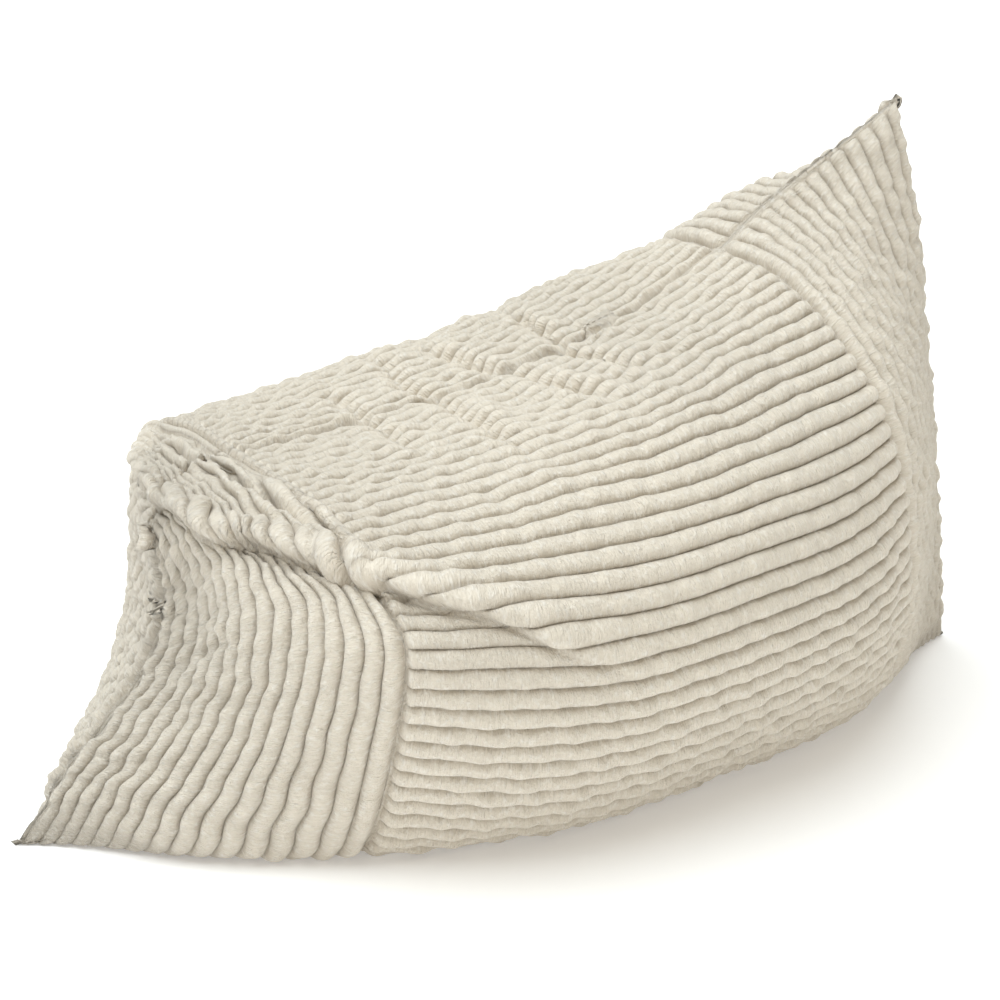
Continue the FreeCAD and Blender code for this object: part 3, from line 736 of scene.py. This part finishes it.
def panel_mesh(name, kind, side, cover):
    """A closed shell: the ribbed outside, a plain inside, and a rim that joins them."""
    along, around, points, normal, lifted, shape = panel_points(kind, side, cover)
    wall = np.minimum(COVER_THICKNESS - THIN_EDGE, 0.35 * np.abs(points[..., 0]) + THIN_EDGE)
    inner = points - normal * wall[..., None]
    turns = CLOSING_TURN.get(kind, ())
    plain = np.full((len(turns), len(around)), 0.75)
    turn = 0.005 * np.arange(1, len(turns) + 1)
    if kind == "front":
        rows, backs = close_end(lifted[0], inner[0], side, (0, -1, 0), 0.0, turns)
        lifted = np.concatenate([rows[::-1], lifted])
        inner = np.concatenate([backs[::-1], inner])
        shape = np.concatenate([plain, shape])
        along = np.concatenate([-turn[::-1], along])
    if kind == "rear":
        rows, backs = close_end(lifted[-1], inner[-1], side, REAR_SEAM_OUT,
                                zip_opening(lifted[-1]), turns)
        lifted = np.concatenate([lifted, rows])
        inner = np.concatenate([inner, backs])
        shape = np.concatenate([shape, plain])
        along = np.concatenate([along, 1 + turn])
    rows, columns = lifted.shape[:2]
    count = rows * columns
    index = np.arange(count).reshape(rows, columns)
    a, b = index[:-1, :-1].ravel(), index[1:, :-1].ravel()
    c, d = index[1:, 1:].ravel(), index[:-1, 1:].ravel()
    outer = np.stack([a, b, c, d], 1)
    back = np.stack([d, c, b, a], 1) + count
    ring = np.concatenate([index[:, 0], index[-1, 1:], index[-2::-1, -1], index[0, -2:0:-1]])
    after = np.roll(ring, -1)
    rim = np.stack([after, ring, ring + count, after + count], 1)
    faces = np.concatenate([outer, back, rim])
    if side < 0:
        faces = faces[:, ::-1]
    corners = np.concatenate([lifted.reshape(-1, 3), inner.reshape(-1, 3)])
    mesh = bpy.data.meshes.new(name)
    mesh.vertices.add(len(corners))
    mesh.vertices.foreach_set("co", corners.ravel())
    mesh.loops.add(faces.size)
    mesh.loops.foreach_set("vertex_index", faces.ravel().astype(np.int32))
    mesh.polygons.add(len(faces))
    mesh.polygons.foreach_set("loop_start", np.arange(0, faces.size, 4, dtype=np.int32))
    mesh.polygons.foreach_set("use_smooth", np.ones(len(faces), bool))
    here_along, here_around = np.meshgrid(along * CLOTH_LENGTH, around * CLOTH_GIRTH,
                                          indexing="ij")
    flat = [here_around, here_along] if PANELS[kind]["across"] else [here_along, here_around]
    flat = np.tile(np.stack(flat, -1).reshape(-1, 2), (2, 1))
    layer = mesh.uv_layers.new(name="cloth")
    layer.data.foreach_set("uv", flat[faces.ravel()].astype(np.float32).ravel())
    # The crown attribute carries the rib share into the painted valley shade: where ribs are
    # flattened, at seams, under folds and along the bottom, more shade is painted; the turned-in
    # ends take 0.75 and the inside 0.4.
    crown = mesh.attributes.new("crown", "FLOAT", "POINT")
    crown.data.foreach_set("value", np.concatenate(
        [shape.ravel(), np.full(count, 0.4)]).astype(np.float32))
    mesh.update(calc_edges=True)
    mesh.validate()
    return mesh


# ---------------------------------------------------------------- materials
class Sum:
    """Wraps a value socket so that shader maths reads as Python."""

    def __init__(self, tree, socket):
        self.tree = tree
        self.socket = socket

    def _with(self, operation, *others, swap=False):
        node = self.tree.nodes.new("ShaderNodeMath")
        node.operation = operation
        values = [self, *others]
        if swap:
            values.reverse()
        for number, value in enumerate(values):
            if isinstance(value, Sum):
                self.tree.links.new(value.socket, node.inputs[number])
            else:
                node.inputs[number].default_value = value
        return Sum(self.tree, node.outputs[0])


def sum_operator(operation, swap=False):
    return lambda self, other: self._with(operation, other, swap=swap)


for sign, operation in (("add", "ADD"), ("sub", "SUBTRACT"), ("mul", "MULTIPLY"),
                        ("pow", "POWER")):
    setattr(Sum, f"__{sign}__", sum_operator(operation))
    setattr(Sum, f"__r{sign}__", sum_operator(operation, swap=True))


class Finish:
    """A material and the short ways to add nodes to it."""

    def __init__(self, name, colour_value, roughness, **shader):
        self.material = bpy.data.materials.new(name)
        self.material.use_nodes = True
        self.material.diffuse_color = (*colour_value, 1)
        self.tree = self.material.node_tree
        self.shader = self.tree.nodes["Principled BSDF"]
        self.shader.inputs["Base Color"].default_value = (*colour_value, 1)
        self.shader.inputs["Roughness"].default_value = roughness
        for socket, value in shader.items():
            self.shader.inputs[socket.replace("_", " ")].default_value = value

    def node(self, kind, settings=(), **values):
        """Adds a node, sets its settings, then fills or links its sockets."""
        node = self.tree.nodes.new(kind)
        for name, value in dict(settings).items():
            setattr(node, name, value)
        for name, value in values.items():
            socket = node.inputs[int(name[1:]) if name[1:].isdigit() else name.replace("_", " ")]
            if isinstance(value, (Sum, bpy.types.NodeSocket)):
                self.tree.links.new(getattr(value, "socket", value), socket)
            else:
                socket.default_value = value
        return node

    def value(self, node, output=0):
        return Sum(self.tree, node.outputs[output])

    def noise(self, scale, detail=2.0, roughness=0.5, cloth=False):
        """Noise of that many cells per metre, one number or one for each axis."""
        node = self.node("ShaderNodeTexNoise", Vector=self.coordinates(scale, cloth=cloth),
                         Scale=1.0, Detail=detail, Roughness=roughness)
        return self.value(node, "Fac")

    def coordinates(self, scale, turn=(0, 0, 0), cloth=False):
        """Object coordinates, or the cloth's own, at a scale and a turn."""
        if not isinstance(scale, tuple):
            scale = (scale,) * 3
        if cloth:
            source = self.node("ShaderNodeUVMap", {"uv_map": "cloth"}).outputs["UV"]
        else:
            source = self.node("ShaderNodeTexCoord").outputs["Object"]
        mapping = self.node("ShaderNodeMapping", Vector=source, Scale=scale, Rotation=turn)
        return mapping.outputs["Vector"]

    def blend(self, factor, first, second):
        """A colour between two, by a factor socket."""
        node = self.node("ShaderNodeMix", {"data_type": "RGBA"}, _0=factor)
        for socket, value in ((node.inputs[6], first), (node.inputs[7], second)):
            if isinstance(value, bpy.types.NodeSocket):
                self.tree.links.new(value, socket)
            else:
                socket.default_value = (*value, 1)
        return node.outputs[2]

    def paint(self, colour_socket=None, rough=None, height=None, distance=0.001, strength=1.0):
        """Links colour, roughness and relief to the shader."""
        if colour_socket is not None:
            self.tree.links.new(colour_socket, self.shader.inputs["Base Color"])
        if rough is not None:
            self.tree.links.new(rough.socket, self.shader.inputs["Roughness"])
        if height is not None:
            bump = self.node("ShaderNodeBump", Height=height, Distance=distance,
                             Strength=strength)
            self.tree.links.new(bump.outputs["Normal"], self.shader.inputs["Normal"])
        return self.material


def mixed(colour_value, other, share):
    return tuple(a + (b - a) * share for a, b in zip(colour_value, other))


def plush_finish(cover):
    """Short dense pile: bright crowns, warm dark painted shade in the valleys between the ribs,
    fine streaks across each rib.
    """
    pile = tuple(cover.pile)
    finish = Finish("plush_cord", pile, 0.95, Sheen_Weight=0.35, Sheen_Roughness=0.45,
                    Sheen_Tint=(0.98, 0.95, 0.90, 1), Specular_IOR_Level=0.12)
    crown = finish.value(finish.node("ShaderNodeAttribute", {"attribute_name": "crown"}), "Fac")
    streaks = finish.noise((520, 70, 1), 3.0, 0.6, cloth=True)
    tufts = finish.noise((150, 110, 1), 3.0, 0.6, cloth=True)
    patches = finish.noise(9, 3.0)
    # Painted shade: the crown share blends from the valley colour deep between the ribs up to the
    # pile colour on the crowns.
    light = crown ** 0.7
    base = finish.blend(light, tuple(cover.valley), pile)
    worn = finish.blend((streaks - 0.42) * 1.5, base, mixed(pile, (0.42, 0.36, 0.28), 0.60))
    brushed = finish.blend((tufts - 0.50) * 2.4, worn, mixed(pile, (1, 0.99, 0.96), 0.75))
    shaded = finish.blend((patches - 0.45) * 0.6, brushed, mixed(pile, (0.55, 0.49, 0.41), 0.5))
    relief = streaks * 0.55 + tufts * 0.9
    return finish.paint(shaded, 0.80 + streaks * 0.25, relief, 0.0055, 1.0)


def woven_finish(name, colour_value, threads, rough=0.8):
    """A plain weave of `threads` per metre on object coordinates."""
    finish = Finish(name, colour_value, rough, Sheen_Weight=0.1)
    waves = []
    for turn in ((0, 0, 0), (0, math.pi / 2, 0), (math.pi / 2, 0, math.pi / 2)):
        wave = finish.node("ShaderNodeTexWave", {"bands_direction": "Z"},
                           Vector=finish.coordinates(threads, turn), Scale=1.0,
                           Distortion=0.4, Detail=1.0)
        waves.append(finish.value(wave, "Fac"))
    weave = waves[0] * waves[1] + waves[2] * 0.3
    specks = finish.noise(800)
    cloth = finish.blend(weave, mixed(colour_value, (0, 0, 0), 0.25), colour_value)
    soiled = finish.blend((specks - 0.5) * 0.5, cloth, mixed(colour_value, (0, 0, 0), 0.3))
    return finish.paint(soiled, rough - 0.1 + specks * 0.15, weave, 0.0002, 0.6)


def nylon_finish(trim):
    finish = Finish("zip_nylon", tuple(trim.nylon), 0.4, Coat_Weight=0.1)
    cloud = finish.noise(400, 3.0)
    shade = finish.blend(cloud, mixed(trim.nylon, (0, 0, 0), 0.12), tuple(trim.nylon))
    return finish.paint(shade, 0.32 + cloud * 0.2, cloud, 0.0001, 0.3)


def metal_finish(trim):
    """Brushed zinc with rubbed, brighter patches."""
    finish = Finish("zip_metal", tuple(trim.metal), 0.35, Metallic=1.0)
    brush = finish.noise((300, 4000, 300))
    rubbed = finish.noise(180, 3.0)
    shade = finish.blend(rubbed, mixed(trim.metal, (0.2, 0.19, 0.18), 0.3), tuple(trim.metal))
    return finish.paint(shade, 0.24 + brush * 0.15 + rubbed * 0.12, brush, 0.00005, 0.4)


def bead_finish(trim):
    """Loose foam beads, about 4 mm each."""
    finish = Finish("beads", tuple(trim.beads), 0.85)
    cells = finish.node("ShaderNodeTexVoronoi", Vector=finish.coordinates(240),
                        Scale=1.0)
    gap = finish.value(cells, "Distance")
    # Painted shade: each bead darkens towards the edge of its cell, where it meets the next bead.
    shade = finish.blend(gap, tuple(trim.beads), mixed(trim.beads, (0.4, 0.4, 0.4), 0.6))
    return finish.paint(shade, 0.75 + gap * 0.2, 1 - gap, 0.002, 0.8)


def floor_finish():
    finish = Finish("studio_floor", (0.93, 0.93, 0.93), 0.9, Emission_Strength=0.22,
                    Emission_Color=(1, 1, 1, 1))
    cloud = finish.noise(1.5)
    shade = finish.blend(cloud, (0.92, 0.92, 0.92), (0.94, 0.94, 0.94))
    return finish.paint(shade)


materials = {}


def finish_for(name):
    """The material of that name, made the first time it is asked for."""
    if name not in materials:
        scene = bpy.context.scene
        cover, trim = scene.lounger_cover, scene.lounger_trim
        makers = {
            "plush_cord": lambda: plush_finish(cover),
            "zip_tape": lambda: woven_finish("zip_tape", tuple(trim.tape), 5200),
            "zip_nylon": lambda: nylon_finish(trim),
            "zip_metal": lambda: metal_finish(trim),
            "liner_cloth": lambda: woven_finish("liner_cloth", tuple(trim.liner), 4200),
            "beads": lambda: bead_finish(trim),
            "thread": lambda: woven_finish("thread", tuple(trim.thread), 6000),
            "studio_floor": floor_finish,
        }
        materials[name] = makers[name]()
    return materials[name]


# ---------------------------------------------------------------- making pieces
def dress(piece, finish):
    """Gives an object or a CAD node that stays in view its only material."""
    piece.data.materials.clear()
    piece.data.materials.append(finish_for(finish))


def add_piece(name, mesh, finish):
    """Places a piece that rides on the bag."""
    piece = new_object(name, mesh)
    dress(piece, finish)
    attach(piece, "bag")
    return piece


def solid_mesh(name, build):
    """The built solid as a smooth mesh, its faces turned outwards."""
    bmesh.ops.recalc_face_normals(build, faces=build.faces)
    for face in build.faces:
        face.smooth = True
    mesh = bpy.data.meshes.new(name)
    build.to_mesh(mesh)
    build.free()
    return mesh


# The inner skins: the shares of the length they leave free at the front and the rear, how much
# deeper they lie at the nose, and how far they keep under the cloth and its folds.
SKIN_ENDS = (0.12, 0.06)
SKIN_NOSE = 0.030
SKIN_GAP = 0.004
SKIN_SINK = 1.1
SKIN_CELLS = (110, 80)


def shell_mesh(name, depth):
    """A closed skin at `depth` under the worked cloth, shared by both halves."""
    cloth = work_cloth(bpy.context.scene.lounger_cover)
    along = np.linspace(SKIN_ENDS[0], 1 - SKIN_ENDS[1], SKIN_CELLS[0] + 1)
    around = np.linspace(0, 1, SKIN_CELLS[1] + 1)
    halves = {}
    for side in (1, -1):
        points, normal = cloth_at(side, along, around, "plain", "upright")
        sunk = read_grid(cloth["sunk"][side], along, around)
        lean = points[:, -1:, :1]
        nose = SKIN_NOSE * (1 - step(SKIN_ENDS[0], 0.30, along))[:, None, None]
        inner = points - normal * (depth + SKIN_GAP - SKIN_SINK * sunk + nose)
        inner[..., :1] = lean + side * np.maximum(side * (inner[..., :1] - lean), 0.0)
        halves[side] = inner
    loop = closed_loop(halves)
    rows, columns = loop.shape[:2]
    loop[..., 2] = np.maximum(loop[..., 2], depth)
    build = bmesh.new()
    verts = [build.verts.new(p) for p in loop.reshape(-1, 3)]
    for corners in ring_faces(rows, columns):
        build.faces.new([verts[corner] for corner in corners])
    for row, order in ((verts[:columns], 1), (verts[-columns:], -1)):
        middle = build.verts.new(sum((v.co for v in row), Vector()) / columns)
        for pair in zip(row, row[1:] + row[:1]):
            build.faces.new((middle, *pair[::order]))
    return solid_mesh(name, build)


REPEAT_NODES = {
    "enter": "NodeGroupInput", "leave": "NodeGroupOutput", "curve": "GeometryNodeMeshToCurve",
    "points": "GeometryNodeCurveToPoints", "part": "GeometryNodeObjectInfo",
    "set_on": "GeometryNodeInstanceOnPoints", "vary": "FunctionNodeRandomValue",
    "low": "ShaderNodeMath", "realize": "GeometryNodeRealizeInstances",
    "coat": "GeometryNodeSetMaterial",
}
REPEAT_LINKS = (
    ("enter", "Line", "curve", "Mesh"), ("curve", "Curve", "points", "Curve"),
    ("enter", "Pitch", "points", "Length"), ("points", "Points", "set_on", "Points"),
    ("points", "Rotation", "set_on", "Rotation"), ("enter", "Part", "part", "Object"),
    ("part", "Geometry", "set_on", "Instance"), ("enter", "Size", "low", 0),
    ("enter", "Unevenness", "low", 1), ("low", 0, "vary", 2), ("enter", "Size", "vary", 3),
    ("enter", "Seed", "vary", "Seed"), ("vary", 1, "set_on", "Scale"),
    ("set_on", "Instances", "realize", "Geometry"), ("realize", "Geometry", "coat", "Geometry"),
    ("coat", "Geometry", "leave", "Geometry"),
)


def repeat_tree(name, finish):
    """Node tree that sets copies of a small part along a line, at a named pitch and size."""
    tree = bpy.data.node_groups.new(name, "GeometryNodeTree")
    sockets = (("Line", "NodeSocketGeometry", None), ("Part", "NodeSocketObject", None),
               ("Pitch", "NodeSocketFloat", 0.003), ("Size", "NodeSocketFloat", 1.0),
               ("Unevenness", "NodeSocketFloat", 0.0), ("Seed", "NodeSocketInt", 7))
    for label, kind, default in sockets:
        socket = tree.interface.new_socket(label, in_out="INPUT", socket_type=kind)
        if default is not None:
            socket.default_value = default
    tree.interface.new_socket("Geometry", in_out="OUTPUT", socket_type="NodeSocketGeometry")
    made = {label: tree.nodes.new(kind) for label, kind in REPEAT_NODES.items()}
    made["points"].mode = "LENGTH"
    made["low"].operation = "SUBTRACT"
    made["coat"].inputs["Material"].default_value = finish_for(finish)
    for giver, output, taker, entry in REPEAT_LINKS:
        tree.links.new(made[giver].outputs[output], made[taker].inputs[entry])
    return tree


def repeat_along(name, lines, part_mesh, finish, pitch, unevenness=0.0):
    """A plain mesh of a small part set again and again along each line of points."""
    points, edges = [], []
    for line in lines:
        start = len(points)
        points.extend(line)
        edges.extend((start + i, start + i + 1) for i in range(len(line) - 1))
    guide_mesh = bpy.data.meshes.new(name + "_guide")
    guide_mesh.from_pydata([tuple(map(float, p)) for p in points], edges, [])
    guide = new_object(name + "_guide", guide_mesh)
    part = new_object(name + "_part", part_mesh)
    tree = repeat_tree(name + "_tree", finish)
    modifier = guide.modifiers.new("repeat", "NODES")
    modifier.node_group = tree
    wanted = {"Part": part, "Pitch": pitch, "Unevenness": unevenness}
    for item in tree.interface.items_tree:
        if item.in_out == "INPUT" and item.name in wanted:
            modifier[item.identifier] = wanted[item.name]
    graph = bpy.context.evaluated_depsgraph_get()
    mesh = bpy.data.meshes.new_from_object(guide.evaluated_get(graph))
    mesh.name = name
    guide.modifiers.remove(modifier)
    for piece in (guide, part):
        bpy.data.objects.remove(piece)
    return mesh


def capsule_mesh(name, long, wide, tall):
    """A small rounded bar lying along X."""
    build = bmesh.new()
    bmesh.ops.create_uvsphere(build, u_segments=8, v_segments=5, radius=0.5)
    for vert in build.verts:
        x, y, z = vert.co
        bar = math.copysign(abs(2 * x) ** 0.6, x) / 2
        vert.co = (bar * long, y * wide, z * tall)
    return solid_mesh(name, build)


# ---------------------------------------------------------------- operators
class LOUNGER_OT_cover(bpy.types.Operator):
    """Makes the six ribbed plush panels of the outer cover"""
    bl_idname = "lounger.cover"
    bl_label = "Cover panels"

    def execute(self, context):
        cover = context.scene.lounger_cover
        for kind in PANELS:
            for label, side in SIDES.items():
                name = f"plush_{kind}_{label}"
                piece = add_piece(name, panel_mesh(name, kind, side, cover), "plush_cord")
                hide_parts(f"{kind}_panel_{label}")
        return {"FINISHED"}


class LOUNGER_OT_liner(bpy.types.Operator):
    """Makes the inner bag and its bead filling"""
    bl_idname = "lounger.liner"
    bl_label = "Liner and beads"

    def execute(self, context):
        for name, depth, finish, nodes in (
                ("inner_bag", 0.014, "liner_cloth", ("liner_left", "liner_right")),
                ("bead_filling", 0.018, "beads", ("bean_fill",))):
            piece = add_piece(name, shell_mesh(name, depth), finish)
            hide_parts(*nodes)
        return {"FINISHED"}


class LOUNGER_OT_seams(bpy.types.Operator):
    """Sets the seam stitches along the panel seams and the ridge"""
    bl_idname = "lounger.seams"
    bl_label = "Seam stitches"

    def execute(self, context):
        cover, trim = context.scene.lounger_cover, context.scene.lounger_trim
        cloth = work_cloth(cover)
        around = np.linspace(0.24, 0.995, 220)
        along = np.linspace(0.012, 0.985, 300)
        sink = cover.rib_drop + cover.seam_depth - 0.0012
        lines = []
        for side in (1, -1):
            for place in (FRONT_SEAM, REAR_SEAM):
                lines.append((side, np.array([place]), around))
        lines.append((1, along, np.array([1.0])))
        strands = []
        for side, a, w in lines:
            points = read_grid(cloth["surface"][side], a, w)
            normal = read_grid(cloth["normal"][side], a, w)
            strands.append((points - normal * sink).reshape(-1, 3))
        part = capsule_mesh("stitch_part", 0.0016, 0.0016, 0.0062)
        mesh = repeat_along("seam_stitches", strands, part, "thread", trim.stitch_pitch, 0.1)
        add_piece("seam_stitches", mesh, "thread")
        return {"FINISHED"}


# How far the row of teeth stays inside its coil's box, along Y and Z.
COIL_INSET = (0.0013, 0.0006)


class LOUNGER_OT_zip(bpy.types.Operator):
    """Finishes the zips: woven tapes, toothed coils, stops, sliders and the puller"""
    bl_idname = "lounger.zip"
    bl_label = "Zips"

    def execute(self, context):
        trim = context.scene.lounger_trim
        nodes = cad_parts
        for prefix in ("zip", "liner_zip"):
            for label in SIDES:
                dress(nodes[f"{prefix}_tape_{label}"], "zip_tape")
            for stop in ("bottom_stop", "top_stops"):
                dress(nodes[f"{prefix}_{stop}"], "zip_nylon")
            dress(nodes[f"{prefix}_slider"], "zip_metal")
            for label in SIDES:
                node = f"{prefix}_coil_{label}"
                low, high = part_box(node)
                middle = (low[0] + high[0]) / 2
                start = (middle, high[1] - COIL_INSET[0], low[2] + COIL_INSET[1])
                end = (middle, low[1] + COIL_INSET[0], high[2] - COIL_INSET[1])
                part = capsule_mesh("tooth_part", 0.0022, 0.0030, 0.0021)
                mesh = repeat_along(f"{prefix}_teeth_{label}", [[start, end]], part,
                                    "zip_nylon", trim.tooth_pitch)
                teeth = add_piece(f"{prefix}_teeth_{label}", mesh, "zip_nylon")
                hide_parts(node)
        dress(nodes["zip_puller"], "zip_metal")
        return {"FINISHED"}


# Studio: each light's name, kind, place, size or angle, strength and tint, then the camera.
STUDIO_LIGHTS = (
    ("sky_light", "SUN", (-0.3, -1.0, 3.6), 1.2, 3.2, (0.905, 0.965, 1.0)),
    ("key_light", "AREA", (2.7, -0.6, 1.3), 2.2, 7.0, (1.0, 0.90, 0.74)),
)
CAMERA_AZIMUTH = 61.0
CAMERA_ELEVATION = 17.5
CAMERA_DISTANCE = 2.60
CAMERA_TARGET = (-0.02, -0.053, 0.322)
CAMERA_LENS = 72.0
LIGHT_TARGET = (0, 0, 0.25)
SKY_COLOUR = (1, 0.94, 0.81, 1)
SKY_STRENGTH = 0.345
FLOOR_REACH = 80.0
FLOOR_GAP = 0.0005


class LOUNGER_OT_stage(bpy.types.Operator):
    """Sets the pale floor, the soft studio light and the camera"""
    bl_idname = "lounger.stage"
    bl_label = "Stage"

    def execute(self, context):
        scene = context.scene
        mesh = bpy.data.meshes.new("studio_floor")
        mesh.from_pydata([(x * FLOOR_REACH, y * FLOOR_REACH, -FLOOR_GAP)
                          for x, y in ((-1, -1), (1, -1), (1, 1), (-1, 1))], [], [(0, 1, 2, 3)])
        mesh.materials.append(finish_for("studio_floor"))
        new_object("studio_floor", mesh)
        world = bpy.data.worlds.new("studio")
        world.use_nodes = True
        sky = world.node_tree.nodes["Background"].inputs
        sky["Color"].default_value = SKY_COLOUR
        sky["Strength"].default_value = SKY_STRENGTH
        scene.world = world
        for name, kind, spot, size, power, tint in STUDIO_LIGHTS:
            data = bpy.data.lights.new(name, kind)
            data.energy = power
            data.color = tint
            setattr(data, "angle" if kind == "SUN" else "size", size)
            lamp = new_object(name, data)
            lamp.location = spot
            aim = Vector(LIGHT_TARGET) - lamp.location
            lamp.rotation_euler = aim.to_track_quat("-Z", "Y").to_euler()
        scene.view_settings.view_transform = "Standard"
        camera_data = bpy.data.cameras.new("camera")
        camera_data.lens = CAMERA_LENS
        camera_data.sensor_width = 36.0
        camera = new_object("camera", camera_data)
        turn, lift = math.radians(CAMERA_AZIMUTH), math.radians(CAMERA_ELEVATION)
        back = Vector((math.sin(turn) * math.cos(lift), -math.cos(turn) * math.cos(lift),
                       math.sin(lift)))
        camera.location = Vector(CAMERA_TARGET) + back * CAMERA_DISTANCE
        camera.rotation_euler = back.to_track_quat("Z", "Y").to_euler()
        scene.camera = camera
        return {"FINISHED"}


class LOUNGER_PT_panel(bpy.types.Panel):
    """The lounger's sizes, colours and building steps"""
    bl_idname = "LOUNGER_PT_panel"
    bl_label = "Bean Bag Lounger"
    bl_space_type = "VIEW_3D"
    bl_region_type = "UI"
    bl_category = "Lounger"

    def draw(self, context):
        for group in (context.scene.lounger_cover, context.scene.lounger_trim):
            box = self.layout.box()
            for name in group.bl_rna.properties.keys():
                if name not in ("rna_type", "name"):
                    box.prop(group, name)
        for operator in OPERATORS:
            self.layout.operator(operator.bl_idname)


OPERATORS = (LOUNGER_OT_stage, LOUNGER_OT_cover, LOUNGER_OT_liner, LOUNGER_OT_seams,
             LOUNGER_OT_zip)
CLASSES = (LoungerCover, LoungerTrim, *OPERATORS, LOUNGER_PT_panel)


def register():
    for cls in CLASSES:
        bpy.utils.register_class(cls)
    bpy.types.Scene.lounger_cover = bpy.props.PointerProperty(type=LoungerCover)
    bpy.types.Scene.lounger_trim = bpy.props.PointerProperty(type=LoungerTrim)


def unregister():
    del bpy.types.Scene.lounger_trim
    del bpy.types.Scene.lounger_cover
    for cls in reversed(CLASSES):
        bpy.utils.unregister_class(cls)


def main():
    register()
    bpy.ops.lounger.stage()
    bpy.ops.lounger.cover()
    bpy.ops.lounger.liner()
    bpy.ops.lounger.seams()
    bpy.ops.lounger.zip()


if __name__ == "__main__":
    main()
